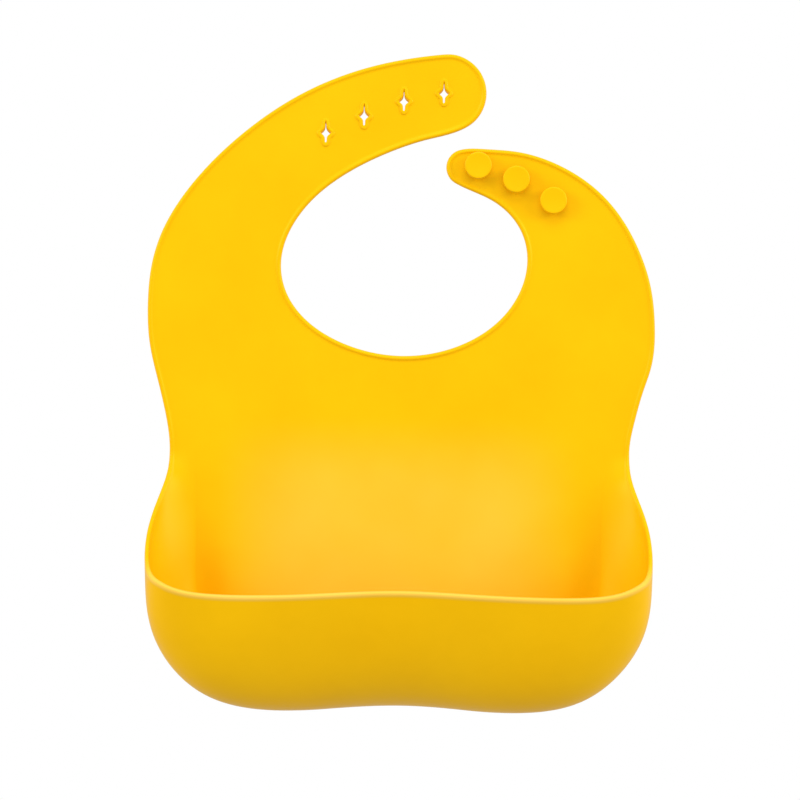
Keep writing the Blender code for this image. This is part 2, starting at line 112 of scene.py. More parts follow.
# Fastening. The right half of a button hole runs from its top to its bottom, about its middle.
# A lip is given as distances from the hole's edge with half the thickness there.
HOLE_CENTRES = [(-34.9, 57.7), (-17.6, 65.6), (0.4, 72.6), (18.5, 76.4)]
STAR_RIGHT = [(0.0, 5.0), (0.08, 4.4), (0.12, 3.0), (0.32, 2.1), (0.95, 1.25), (2.35, 0.0),
              (1.0, -1.15), (0.44, -1.9), (0.34, -3.9), (0.0, -4.4)]
STAR_STEP = 0.3              # spacing of the points along it
LIP = [(0.0, 0.0), (0.03, 0.6), (0.1, 1.0), (0.25, 1.35), (0.5, 1.5), (1.2, 1.5),
       (1.42, 1.4), (1.58, 1.18), (1.7, 1.04), (1.95, 1.0), (2.7, 1.0)]
LIP_LEAN = 0.5               # how far a hole runs downwards for each millimetre of depth
HALVINGS = 30                # of the interval in which a ring's radius is searched
STUD_CENTRES = [(34.3, 43.9), (51.6, 37.8), (68.5, 28.4)]
STUD_NECK_RADIUS = 3.0
STUD_HEAD_RADIUS = 6.1
STUD_NECK_LENGTH = 3.0
STUD_HEAD_HEIGHT = 2.0
STUD_SINK = 0.15             # how far the neck's foot reaches into the sheet
STUD_FLARE = 0.9             # rounding between the sheet and the neck
STUD_UNDER_ROUND = 0.35      # rounding between the neck and the head
STUD_LOWER_ROUND = 0.45      # rounding of the head's lower edge
STUD_UPPER_ROUND = 0.6       # rounding of the head's upper edge
STUD_DISH = 0.28             # depth of the hollow in the head's face
STUD_FACE_RINGS = (0.85, 0.65, 0.4, 0.2, 0.0)
STUD_SIDES = 72

# The pocket, right half, from the waist round the corner to the middle of the bottom. Each
# row is a section: its crease on the back panel, the two corners that pull it outwards and
# forwards, and its end on the rim.
SECTIONS = [
    [(91.5, 0.0, -86.0), (95.7, 0.0, -86.0), (100.0, 0.0, -86.0), (104.2, 0.0, -86.0)],
    [(91.5, 0.0, -100.0), (94.5, 0.0, -100.0), (102.0, -3.0, -99.2), (105.4, -5.0, -98.5)],
    [(91.5, 0.0, -114.0), (94.5, 0.0, -114.0), (107.0, -8.0, -112.2), (109.2, -13.0, -111.0)],
    [(91.5, 0.0, -130.0), (94.5, 0.0, -130.0), (112.0, -15.0, -128.0), (111.8, -24.5, -125.0)],
    [(91.0, 0.0, -148.0), (95.0, 0.0, -149.0), (114.8, -21.0, -151.5), (110.9, -37.5, -138.0)],
    [(83.7, 0.0, -169.7), (91.0, 0.0, -175.5), (114.5, -25.0, -180.4), (105.0, -45.0, -144.0)],
    [(66.7, 0.0, -184.0), (74.8, 0.0, -199.0), (91.9, -28.5, -203.2), (90.0, -48.5, -148.4)],
    [(42.0, 0.0, -188.0), (45.5, 0.0, -204.4), (59.8, -28.5, -208.5), (60.0, -49.6, -149.2)],
    [(20.5, 0.0, -188.0), (22.0, 0.0, -203.0), (29.7, -28.0, -206.1), (30.0, -50.0, -148.0)],
    [(0.0, 0.0, -188.0), (0.0, 0.0, -202.0), (0.0, -28.0, -204.5), (0.0, -50.0, -147.0)],
]
CORNER_PULL = 2.2            # how closely a section follows its two corners
SECTION_STEPS = 440          # points of a section's polyline
WAIST_SPACING = 14.0         # between the first two sections
FINE_SECTIONS = 10           # steps between two sections when the columns are spaced out
POCKET_STEP = 1.8            # spacing of the pocket's columns
POCKET_ROWS = 48             # rows from the crease to the foot of the rim's bead
FILL_STEP = 3.6              # spacing of the points inside the flat sheet
FILL_MARGIN = 1.9            # how near they come to any other point
FILL_TOLERANCE = 1e-7        # distance below which two points count as one
CUT_STEP = 3.0               # spacing of the points along a cut
RIM_SLIM = 0.35              # share of the bead's extra thickness that the pocket's rim keeps
RIM_TAPER = 14.0             # columns over which it gets slimmer
RIM_PLAIN = 0.42             # share by which the edge of a side wall is thinner than the bead
RIM_FRONT = (-32.0, 12.0)    # where the rim stops being a side wall's, and over what depth

ON_SHEET = 0.01              # a place this near to y = 0 belongs to the flat sheet

# The painted sheen low on the front of the chest, a pale patch standing in for the lights'
# reflection there: its strength, its half width and top, and over what distances it fades in
# from them.
SHEEN_STRENGTH = 0.42
SHEEN_HALF_WIDTH = 86.0
SHEEN_SIDE = 44.0
SHEEN_TOP = -68.0
SHEEN_RISE = 42.0

# The panel behind the pocket stands forward like a pillow: by how much, its half width, top
# and bottom, and over what distances it rises from them.
PILLOW = 2.4
PILLOW_HALF_WIDTH = 91.0
PILLOW_SIDE = 16.0
PILLOW_TOP = -84.0
PILLOW_RISE = 74.0
PILLOW_BOTTOM = -187.0
PILLOW_FALL = 24.0

# The soft sheet's waves: how high each one is, then its radians per millimetre along x, y and
# z, and its phase. The slow one is the product of two.
SLOW_WAVE = 0.35
SLOW_ACROSS = ((0.036, 0.0, 0.0), 0.9)
SLOW_DOWN = ((0.0, 0.02, 0.041), 0.4)
MEDIUM_WAVE = 0.16
MEDIUM_TURNS = ((0.083, 0.05, -0.064), 1.7)
FINE_WAVE = 0.06
FINE_TURNS = ((0.08, 0.11, 0.13), 0.6)

# The half width of the strip along each piece's flex line.
HOLE_TIP_REACH = 9.0
HOLE_REACH = 13.5
STUD_TIP_REACH = 5.5
STUD_REACH = 6.2
FOLD_REACH = 6.9

# Silicone: linear colours, and noises, each with its scale per metre and its detail. A span
# is the part of a noise that is spread over a range of results.
IOR = 1.41
SPECULAR_LEVEL = 0.35
SPECULAR_TINT = (1.0, 0.75, 0.14, 1.0)
ROUGHNESS = (0.31, 0.37)
DEEP_YELLOW = (0.850, 0.455, 0.0010, 1.0)
BRIGHT_YELLOW = (0.880, 0.482, 0.0014, 1.0)
SPECK_BROWN = (0.60, 0.27, 0.004, 1.0)
# Painted highlight and sheen: a pale yellow that stands in for the lights' gleam on the pocket's
# rim and their reflection low on the chest.
HIGHLIGHT_YELLOW = (0.900, 0.550, 0.085, 1.0)
BROAD_NOISE = (22.0, 2.0)
MOTTLE_NOISE = (160.0, 3.0)
GRAIN_NOISE = (2600.0, 2.0)
STRONG_SPAN = (0.3, 0.7)
SOFT_SPAN = (0.25, 0.75)
MOTTLE_DEPTH = (0.985, 1.0)  # what the mottling multiplies the colour by
GRAIN_STRENGTH = 0.12
GRAIN_DISTANCE = 0.00008     # metres
SPECK_SCALE = 55.0           # cells per metre
SPECK_SPAN = (0.008, 0.014)  # distances from a cell's middle between which a speck fades out
HIGHLIGHT_UNEVENNESS = (0.55, 1.0)    # what the broad noise multiplies the painted highlight and sheen by

# The studio, in metres and watts. Each light has a name, a place, a size and a power.
AIM = (0.0, 0.0, -0.06)
LIGHTS = [
    ("key", (0.0, -2.0, 2.6), (2.2, 1.6), 38.0),
    ("front", (0.0, -3.2, 1.1), (2.2, 1.2), 11.0),
    ("left_side", (-2.7, -1.6, 1.1), (1.2, 1.2), 34.0),
    ("right_side", (2.7, -1.6, 1.1), (1.2, 1.2), 38.0),
    ("left_edge", (-3.2, -0.6, 0.5), (1.2, 1.2), 16.0),
    ("right_edge", (3.2, -0.6, 0.5), (1.2, 1.2), 22.0),
]
WHITE = (1.0, 1.0, 1.0, 1.0)
GLOW = 0.66                  # strength of the white surroundings
FLOOR_HALF = 1.8
FLOOR_Z = -0.45
FLOOR_GREY = (0.86, 0.86, 0.86, 1.0)
FLOOR_ROUGHNESS = 0.9
CAMERA_PLACE = (0.0, -1.7, -0.0626)
CAMERA_SENSOR = 36.0         # millimetres
CAMERA_LENS = 168.7          # millimetres
CAMERA_ROLL = 0.6            # degrees


def bead_profile():
    """Distance from the free edge and half thickness there: an ellipse, a fillet, the sheet."""
    turned = [math.radians(a) for a in BEAD_ANGLES]
    bead = [(BEAD_WIDTH / 2 * (1 - math.cos(a)), BEAD_HEIGHT / 2 * math.sin(a)) for a in turned]
    return bead + BEAD_FILLET


BEAD = bead_profile()
LEVELS = len(BEAD)


def spline(knots, values, at, slopes):
    """Cubic spline through the values at the knots, with the given slopes at its two ends."""
    knots = np.asarray(knots, float)
    values = np.asarray(values, float)
    at = np.asarray(at, float)
    gaps = np.diff(knots)
    rises = np.diff(values, axis=0) / gaps[:, None]
    count = len(knots)
    system = np.zeros((count, count))
    target = np.zeros_like(values)
    system[0, :2] = 2 * gaps[0], gaps[0]
    system[-1, -2:] = gaps[-1], 2 * gaps[-1]
    target[0] = 6 * (rises[0] - slopes[0])
    target[-1] = 6 * (slopes[1] - rises[-1])
    for i in range(1, count - 1):
        system[i, i - 1:i + 2] = gaps[i - 1], 2 * (gaps[i - 1] + gaps[i]), gaps[i]
        target[i] = 6 * (rises[i] - rises[i - 1])
    bend = np.linalg.solve(system, target)
    i = np.clip(np.searchsorted(knots, at) - 1, 0, count - 2)
    gap = gaps[i][:, None]
    before = (knots[i + 1] - at)[:, None] / gap
    after = 1 - before
    curve = (before ** 3 - before) * bend[i] + (after ** 3 - after) * bend[i + 1]
    return before * values[i] + after * values[i + 1] + curve * gap ** 2 / 6


def lengths_along(points):
    """Distance from the first point to each point of a polyline."""
    return np.append(0.0, np.cumsum(np.linalg.norm(np.diff(points, axis=0), axis=1)))


def arc_points(centre, radius, angles, count=9):
    """Points on an arc between two angles in degrees."""
    turn = np.radians(np.linspace(angles[0], angles[1], count))
    return [(centre[0] + radius * math.cos(a), centre[1] + radius * math.sin(a)) for a in turn]


class FreeEdge:
    """The bib's free edge as one smooth path from the left end of the waist to the right."""

    def __init__(self):
        hole_tip = arc_points(HOLE_TIP_CENTRE, HOLE_TIP_RADIUS, HOLE_TIP_ARC)
        stud_tip = arc_points(STUD_TIP_CENTRE, STUD_TIP_RADIUS, STUD_TIP_ARC)
        points = np.array(LEFT_EDGE + hole_tip + NECK_EDGE + stud_tip + RIGHT_EDGE)
        knots = lengths_along(points)
        at = np.linspace(0.0, knots[-1], int(knots[-1] / PATH_STEP) + 1)
        self.points = spline(knots, points, at, slopes=[(0.0, 1.0), (0.0, -1.0)])
        self.place = lengths_along(self.points)
        run = np.gradient(self.points, axis=0)
        self.heading = np.unwrap(np.arctan2(run[:, 1], run[:, 0]))
        turns = np.degrees(np.abs(np.diff(self.heading)))
        self.effort = np.append(0.0, np.cumsum(np.diff(self.place) / EDGE_STEP + turns / EDGE_TURN))

    def near(self, point):
        """The place on the path that is nearest to a point."""
        return self.place[np.argmin(np.linalg.norm(self.points - np.array(point), axis=1))]

    def columns(self, stops):
        """Points and inward directions along the whole path, with a column at every stop."""
        places = [stops[0]]
        starts = [0]
        for first, last in zip(stops, stops[1:]):
            efforts = np.interp([first, last], self.place, self.effort)
            count = max(1, math.ceil(efforts[1] - efforts[0]))
            steps = np.linspace(efforts[0], efforts[1], count + 1)[1:]
            places.extend(np.interp(steps, self.effort, self.place))
            starts.append(len(places) - 1)
        points = np.stack([np.interp(places, self.place, self.points[:, k]) for k in (0, 1)], 1)
        heading = np.interp(places, self.place, self.heading)
        inward = np.stack([np.sin(heading), -np.cos(heading)], 1)
        inward[0] = (1.0, 0.0)
        inward[-1] = (-1.0, 0.0)
        return points, inward, starts


def mirrored(rows):
    """The right-hand rows, then the same rows on the left, in one run from right to left."""
    left = [[(-x, y, z) for x, y, z in row] for row in reversed(rows[:-1])]
    return np.array(rows + left, float)


SECTION_TABLE = mirrored(SECTIONS)


def section(place):
    """The pocket's section at a place in the table, as a dense polyline from crease to rim."""
    knots = np.arange(len(SECTION_TABLE))
    flat = SECTION_TABLE.reshape(len(SECTION_TABLE), -1)
    down = np.tile([0.0, 0.0, -WAIST_SPACING], 4)
    corners = spline(knots, flat, [place], slopes=[down, -down]).reshape(4, 3)
    t = np.linspace(0.0, 1.0, SECTION_STEPS)[:, None]
    weights = [(1 - t) ** 3, 3 * CORNER_PULL * t * (1 - t) ** 2,
               3 * CORNER_PULL * t ** 2 * (1 - t), t ** 3]
    return sum(w * c for w, c in zip(weights, corners)) / sum(weights)


def pocket_places():
    """Section places of the pocket's columns, evenly spaced over its surface."""
    last = len(SECTION_TABLE) - 1
    fine = np.linspace(0, last, FINE_SECTIONS * last + 1)
    lines = np.array([section(place)[[0, SECTION_STEPS // 2, -1]] for place in fine])
    steps = np.linalg.norm(np.diff(lines, axis=0), axis=2).max(axis=1)
    run = np.append(0.0, np.cumsum(steps))
    count = int(run[-1] / POCKET_STEP)
    return np.interp(np.linspace(0.0, run[-1], count + 1), run, fine)


def pocket_grid():
    """Points of the pocket, columns by rows: from the crease to the bead, then over the bead."""
    depths = [distance for distance, _ in BEAD]
    columns = []
    for place in pocket_places():
        line = section(place)
        run = lengths_along(line)
        wanted = list(np.linspace(0.0, run[-1] - depths[-1], POCKET_ROWS + 1))
        wanted += [run[-1] - depth for depth in reversed(depths[:-1])]
        columns.append(np.stack([np.interp(wanted, run, line[:, k]) for k in range(3)], 1))
    return np.array(columns)


def star_outline():
    """The button hole's outline, anticlockwise, as points about its middle."""
    left = [(-x, z) for x, z in STAR_RIGHT[1:-1]]
    corners = STAR_RIGHT[:1] + left + STAR_RIGHT[:0:-1]
    points = []
    for start, end in zip(corners, corners[1:] + corners[:1]):
        length = math.dist(start, end)
        count = max(1, round(length / STAR_STEP))
        for k in range(count):
            share = k / count
            points.append((start[0] + share * (end[0] - start[0]),
                           start[1] + share * (end[1] - start[1])))
    return np.array(points)


def distance_to_loop(points, loop):
    """Distance of each point to a closed polyline."""
    start = loop[None, :, :]
    side = (np.roll(loop, -1, axis=0) - loop)[None, :, :]
    offset = points[:, None, :] - start
    share = np.clip((offset * side).sum(2) / (side ** 2).sum(2), 0.0, 1.0)
    return np.linalg.norm(offset - share[:, :, None] * side, axis=2).min(axis=1)


def star_rings():
    """The button hole's outline moved outwards to each distance of the lip's profile."""
    outline = star_outline()
    radius = np.linalg.norm(outline, axis=1)
    direction = outline / radius[:, None]
    rings = [outline]
    for distance, _ in LIP[1:]:
        low = radius.copy()
        # The radius sought lies between the outline's own and a bound further out.
        high = radius + 3 * distance + 1
        for _ in range(HALVINGS):
            middle = (low + high) / 2
            outside = distance_to_loop(direction * middle[:, None], outline) > distance
            high = np.where(outside, middle, high)
            low = np.where(outside, low, middle)
        rings.append(direction * high[:, None])
    return rings


def inside(points, loop):
    """Which points lie inside a closed polyline."""
    x, z = points[:, 0][:, None], points[:, 1][:, None]
    x1, z1 = loop[:, 0][None], loop[:, 1][None]
    x2, z2 = np.roll(loop[:, 0], -1)[None], np.roll(loop[:, 1], -1)[None]
    spans = (z1 > z) != (z2 > z)
    rise = np.where(z2 == z1, 1.0, z2 - z1)
    crosses = spans & (x < (x2 - x1) * (z - z1) / rise + x1)
    return crosses.sum(axis=1) % 2 == 1


def fill_points(boundary, taken):
    """A hexagonal grid of points inside the boundary, clear of the points already taken."""
    low, high = boundary.min(axis=0), boundary.max(axis=0)
    rows = np.arange(low[1], high[1], FILL_STEP * math.sqrt(3) / 2)
    grid = []
    for k, z in enumerate(rows):
        start = low[0] + (k % 2) * FILL_STEP / 2
        grid.extend((x, z) for x in np.arange(start, high[0], FILL_STEP))
    grid = np.array(grid)
    grid = grid[inside(grid, boundary)]
    gaps = np.array([np.linalg.norm(taken - point, axis=1).min() for point in grid])
    return grid[gaps > FILL_MARGIN]


class Skin:
    """The middle surface of the moulding: its points, and for each the way its front faces,
    half its thickness and how much painted highlight it carries. Faces are counter-clockwise seen
    from the front."""

    def __init__(self):
        self.places = []
        self.fronts = []
        self.halves = []
        self.pale = []
        self.faces = []
        self.regions = []

    def add(self, place, front, half, pale=0.0):
        """Adds a point and returns its number."""
        self.places.append(place)
        self.fronts.append(front)
        self.halves.append(half)
        self.pale.append(pale)
        return len(self.places) - 1

    def face(self, corners, region):
        """Adds a face."""
        self.faces.append(tuple(corners))
        self.regions.append(region)


def bead_share(distance):
    """1 on the crest of the bead, falling to 0 at its foot."""
    return float(np.clip((CREST_FOOT - distance) / CREST_FADE, 0.0, 1.0))


def add_free_edge(skin):
    """The bead all along the free edge. Returns its innermost run, its two end columns, the
    columns at which its pieces start, and the piece that each column begins."""
    edge = FreeEdge()
    stops = [edge.near(point) for _, point in PIECES_ALONG_EDGE] + [edge.place[-1]]
    points, inward, starts = edge.columns(stops)
    grid = []
    for point, side in zip(points, inward):
        column = []
        for distance, half in BEAD:
            x, z = point + distance * side
            column.append(skin.add((x, 0.0, z), FRONT, half))
        grid.append(column)
    names = [name for name, _ in PIECES_ALONG_EDGE]
    region_of = {}
    for name, first, last in zip(names, starts, starts[1:]):
        for i in range(first, last):
            region_of[i] = name
            for k in range(LEVELS - 1):
                skin.face((grid[i][k], grid[i][k + 1], grid[i + 1][k + 1], grid[i + 1][k]), name)
    inner = [column[-1] for column in grid]
    return inner, grid[0], grid[-1], starts, region_of


def add_pocket(skin, left_end, right_end):
    """The pocket's side walls, floor and front wall in one. Returns the crease and the two
    waist runs, each from the crease outwards."""
    grid = pocket_grid()
    across = np.gradient(grid, axis=0)
    along = np.gradient(grid, axis=1)
    front = np.cross(across, along)
    front /= np.linalg.norm(front, axis=2)[:, :, None]
    front[0] = front[-1] = FRONT
    front[:, 0] = FRONT
    halves = [SHEET / 2] * (POCKET_ROWS + 1) + [half for _, half in reversed(BEAD[:-1])]
    shares = [0.0] * (POCKET_ROWS + 1) + [bead_share(d) for d, _ in reversed(BEAD[:-1])]
    last = len(grid) - 1
    away = [float(ease(min(i, last - i) / RIM_TAPER)) for i in range(len(grid))]
    numbers = []
    for i in range(len(grid)):
        end = {0: right_end, last: left_end}.get(i)
        column = []
        for j, (half, share) in enumerate(zip(halves, shares)):
            if end and j >= POCKET_ROWS:
                column.append(end[LEVELS - 1 - (j - POCKET_ROWS)])
            else:
                ahead = float(ease((RIM_FRONT[0] - grid[i, -1, 1]) / RIM_FRONT[1]))
                slimmer = max(0.0, half - SHEET / 2) * (1 - RIM_SLIM)
                plain = half * RIM_PLAIN * share
                extra = away[i] * (ahead * slimmer + (1 - ahead) * plain)
                place = tuple(grid[i, j])
                # The crest of the rim's bead at the front gets a painted highlight: a pale tint
                # where the lights gleam along it.
                column.append(skin.add(place, front[i, j], half - extra, share * ahead))
        numbers.append(column)
    for i in range(len(numbers) - 1):
        for j in range(len(halves) - 1):
            skin.face((numbers[i][j], numbers[i + 1][j], numbers[i + 1][j + 1], numbers[i][j + 1]),
                      "pocket")
    crease = [column[0] for column in numbers]
    return crease, numbers[0][:POCKET_ROWS + 1], numbers[-1][:POCKET_ROWS + 1]


def add_holes(skin):
    """The lips of the button holes. Returns the outermost ring of each."""
    rings = star_rings()
    outers = []
    for number, (cx, cz) in enumerate(HOLE_CENTRES):
        region = "hole_strap_upper" if number == 0 else "hole_strap_end"
        numbers = []
        for ring, (distance, half) in zip(rings, LIP):
            lean = LIP_LEAN * max(0.0, 1 - distance / LIP[-2][0])
            front = FRONT + np.array([0.0, 0.0, lean])
            numbers.append([skin.add((cx + x, 0.0, cz + z), front, half) for x, z in ring])
        count = len(rings[0])
        for inner, outer in zip(numbers, numbers[1:]):
            for i in range(count):
                j = (i + 1) % count
                skin.face((inner[i], outer[i], outer[j], inner[j]), region)
        outers.append(numbers[-1])
    return outers


def flat(skin, numbers):
    """The (x, z) places of some points."""
    return np.array([(skin.places[i][0], skin.places[i][2]) for i in numbers])


def add_cuts(skin, inner, starts):
    """Straight rows of points across the sheet, wherever one piece meets the next."""
    names = [name for name, _ in PIECES_ALONG_EDGE]
    open_cuts = []
    cuts = []
    for k in range(1, len(names)):
        pair = {names[k - 1], names[k]}
        if open_cuts and open_cuts[-1][0] == pair:
            _, first = open_cuts.pop()
            start, end = inner[starts[first]], inner[starts[k]]
            a, b = flat(skin, [start, end])
            count = round(float(np.linalg.norm(b - a)) / CUT_STEP)
            between = [a + (b - a) * i / count for i in range(1, count)]
            cuts.append([start] + [skin.add((x, 0.0, z), FRONT, SHEET / 2) for x, z in between]
                        + [end])
        else:
            open_cuts.append((pair, k))
    return cuts


def fill_sheet(skin, inner, crease, right_waist, left_waist, holes, cuts, region_of):
    """Fills the flat sheet between its edges with triangles."""
    loop = inner + right_waist[-2::-1] + crease[1:] + left_waist[1:-1]
    boundary = flat(skin, loop)
    hole_loops = [flat(skin, ring) for ring in holes]
    cut_points = [i for cut in cuts for i in cut[1:-1]]
    fixed = loop + [i for ring in holes for i in ring] + cut_points
    taken = flat(skin, fixed)
    grid = fill_points(boundary, taken)
    for ring in hole_loops:
        grid = grid[~inside(grid, ring)]
    numbers = fixed + [skin.add((x, 0.0, z), FRONT, SHEET / 2) for x, z in grid]
    local = {number: i for i, number in enumerate(numbers)}
    walls = []
    for ring in [loop] + holes:
        walls += [(local[a], local[b]) for a, b in zip(ring, ring[1:] + ring[:1])]
    for cut in cuts:
        walls += [(local[a], local[b]) for a, b in zip(cut, cut[1:])]
    spots = [Vector(spot) for spot in flat(skin, numbers)]
    out_spots, _, triangles, origins, _, _ = delaunay_2d_cdt(
        spots, walls, [], 0, FILL_TOLERANCE)
    back = [numbers[origin[0]] for origin in origins]
    spots = np.array([tuple(spot) for spot in out_spots])
    centres = np.array([spots[list(triangle)].mean(axis=0) for triangle in triangles])
    kept = inside(centres, boundary)
    for ring in hole_loops:
        kept &= ~inside(centres, ring)
    faces = [tuple(back[i] for i in t) for t, keep in zip(triangles, kept) if keep]
    barred = {frozenset(pair) for cut in cuts for pair in zip(cut, cut[1:])}
    for corners, region in zip(faces, flood(faces, barred, inner, region_of)):
        skin.face(corners, region)


def flood(faces, barred, inner, region_of):
    """The piece that each face belongs to, spread from the free edge up to the cuts."""
    beside = {}
    for number, corners in enumerate(faces):
        for pair in zip(corners, corners[1:] + corners[:1]):
            beside.setdefault(frozenset(pair), []).append(number)
    regions = [None] * len(faces)
    queue = []
    for i, name in region_of.items():
        for number in beside.get(frozenset((inner[i], inner[i + 1])), []):
            regions[number] = name
            queue.append(number)
    while queue:
        number = queue.pop()
        corners = faces[number]
        for pair in zip(corners, corners[1:] + corners[:1]):
            key = frozenset(pair)
            if key in barred:
                continue
            for other in beside[key]:
                if regions[other] is None:
                    regions[other] = regions[number]
                    queue.append(other)
    return regions


def ease(share):
    """0 below 0, 1 above 1 and an even S between."""
    share = np.clip(share, 0.0, 1.0)
    return share * share * (3 - 2 * share)


def angle(places, turns):
    """How far a wave has turned at each place, in radians."""
    return places @ np.array(turns[0]) + turns[1]


def sway(places):
    """How far the soft sheet stands forward of its CAD place, in millimetres: waves that are
    less than a millimetre high, and the pillow behind the pocket."""
    x, y, z = places.T
    slow = np.sin(angle(places, SLOW_ACROSS)) * np.cos(angle(places, SLOW_DOWN))
    medium = np.sin(angle(places, MEDIUM_TURNS))
    fine = np.sin(angle(places, FINE_TURNS))
    across = ease((PILLOW_HALF_WIDTH - np.abs(x)) / PILLOW_SIDE)
    down = ease((PILLOW_TOP - z) / PILLOW_RISE) * ease((z - PILLOW_BOTTOM) / PILLOW_FALL)
    pillow = PILLOW * across * down * (np.abs(y) < ON_SHEET)
    return SLOW_WAVE * slow + MEDIUM_WAVE * medium + FINE_WAVE * fine + pillow


def painted_sheen(places):
    """How much painted sheen the front of the sheet carries, from 0 to 1: a faint pale patch low on
    the chest that stands in for the lights' reflection there.
    """
    x, y, z = places.T
    across = ease((SHEEN_HALF_WIDTH - np.abs(x)) / SHEEN_SIDE)
    return SHEEN_STRENGTH * across * ease((SHEEN_TOP - z) / SHEEN_RISE) * (np.abs(y) < ON_SHEET)


def silicone():
    """Satin yellow silicone: a fine grain, faint mottling, sparse specks, a painted highlight along
    the pocket's rim and a painted sheen low on the chest.
    """
    material = bpy.data.materials.new("yellow_silicone")
    material.use_nodes = True
    nodes = material.node_tree.nodes
    links = material.node_tree.links
    shader = nodes["Principled BSDF"]
    shader.inputs["Metallic"].default_value = 0.0
    shader.inputs["IOR"].default_value = IOR
    shader.inputs["Specular IOR Level"].default_value = SPECULAR_LEVEL
    shader.inputs["Specular Tint"].default_value = SPECULAR_TINT

    def node(kind, **values):
        made = nodes.new(kind)
        for key, value in values.items():
            if key in made.inputs:
                made.inputs[key].default_value = value
            else:
                setattr(made, key, value)
        return made

    def ramp(source, span, results):
        made = node("ShaderNodeMapRange", **{"From Min": span[0], "From Max": span[1],
                                             "To Min": results[0], "To Max": results[1]})
        links.new(source, made.inputs["Value"])
        return made.outputs["Result"]

    rest = node("ShaderNodeAttribute", attribute_name="rest_place").outputs["Vector"]

    def noise(scale, detail):
        made = node("ShaderNodeTexNoise", Scale=scale, Detail=detail)
        links.new(rest, made.inputs["Vector"])
        return made.outputs["Fac"]

    broad = noise(*BROAD_NOISE)
    mottle = noise(*MOTTLE_NOISE)
    grain = noise(*GRAIN_NOISE)
    dust = node("ShaderNodeTexVoronoi", Scale=SPECK_SCALE)
    links.new(rest, dust.inputs["Vector"])
    speck = ramp(dust.outputs["Distance"], SPECK_SPAN, (1.0, 0.0))

    tone = node("ShaderNodeMix", data_type="RGBA")
    tone.inputs["A"].default_value = DEEP_YELLOW
    tone.inputs["B"].default_value = BRIGHT_YELLOW
    links.new(ramp(broad, STRONG_SPAN, (0.0, 1.0)), tone.inputs["Factor"])
    cloud = node("ShaderNodeMix", data_type="RGBA", blend_type="MULTIPLY")
    cloud.inputs["Factor"].default_value = 1.0
    links.new(tone.outputs["Result"], cloud.inputs["A"])
    links.new(ramp(mottle, STRONG_SPAN, MOTTLE_DEPTH), cloud.inputs["B"])
    marked = node("ShaderNodeMix", data_type="RGBA")
    marked.inputs["B"].default_value = SPECK_BROWN
    links.new(cloud.outputs["Result"], marked.inputs["A"])
    links.new(speck, marked.inputs["Factor"])
    # The painted highlight on the pocket's rim and the painted sheen low on the chest, mixed in as
    # a pale yellow.
    pale = node("ShaderNodeAttribute", attribute_name="pale").outputs["Fac"]
    uneven = node("ShaderNodeMath", operation="MULTIPLY")
    links.new(pale, uneven.inputs[0])
    links.new(ramp(broad, SOFT_SPAN, HIGHLIGHT_UNEVENNESS), uneven.inputs[1])
    highlighted = node("ShaderNodeMix", data_type="RGBA")
    highlighted.inputs["B"].default_value = HIGHLIGHT_YELLOW
    links.new(marked.outputs["Result"], highlighted.inputs["A"])
    links.new(uneven.outputs["Value"], highlighted.inputs["Factor"])
    links.new(highlighted.outputs["Result"], shader.inputs["Base Color"])

    links.new(ramp(mottle, SOFT_SPAN, ROUGHNESS), shader.inputs["Roughness"])

    bump = node("ShaderNodeBump", Strength=GRAIN_STRENGTH, Distance=GRAIN_DISTANCE)
    links.new(grain, bump.inputs["Height"])
    links.new(bump.outputs["Normal"], shader.inputs["Normal"])
    return material


def finish_mesh(name, verts, faces, normals, material, pale):
    """A mesh object from points in millimetres, with the given normal at each face corner."""
    mesh = bpy.data.meshes.new(name)
    mesh.from_pydata([tuple(v) for v in np.array(verts) * MM], [], faces)
    mesh.shade_smooth()
    mesh.normals_split_custom_set([tuple(n) for n in normals])
    rest = mesh.attributes.new("rest_place", "FLOAT_VECTOR", "POINT")
    rest.data.foreach_set("vector", (np.array(verts) * MM).astype(np.float32).ravel())
    # How much painted highlight and sheen each point carries.
    highlight_layer = mesh.attributes.new("pale", "FLOAT", "POINT")
    highlight_layer.data.foreach_set("value", np.array(pale, np.float32))
    mesh.materials.append(material)
    made = bpy.data.objects.new(name, mesh)
    bpy.context.scene.collection.objects.link(made)
    return made


def smooth_normals(verts, faces):
    """The normal of the whole skin at each of its points."""
    mesh = bpy.data.meshes.new("whole")
    mesh.from_pydata([tuple(v) for v in verts], [], faces)
    normals = np.zeros(len(verts) * 3, np.float32)
    mesh.vertex_normals.foreach_get("vector", normals)
    bpy.data.meshes.remove(mesh)
    return normals.reshape(-1, 3)


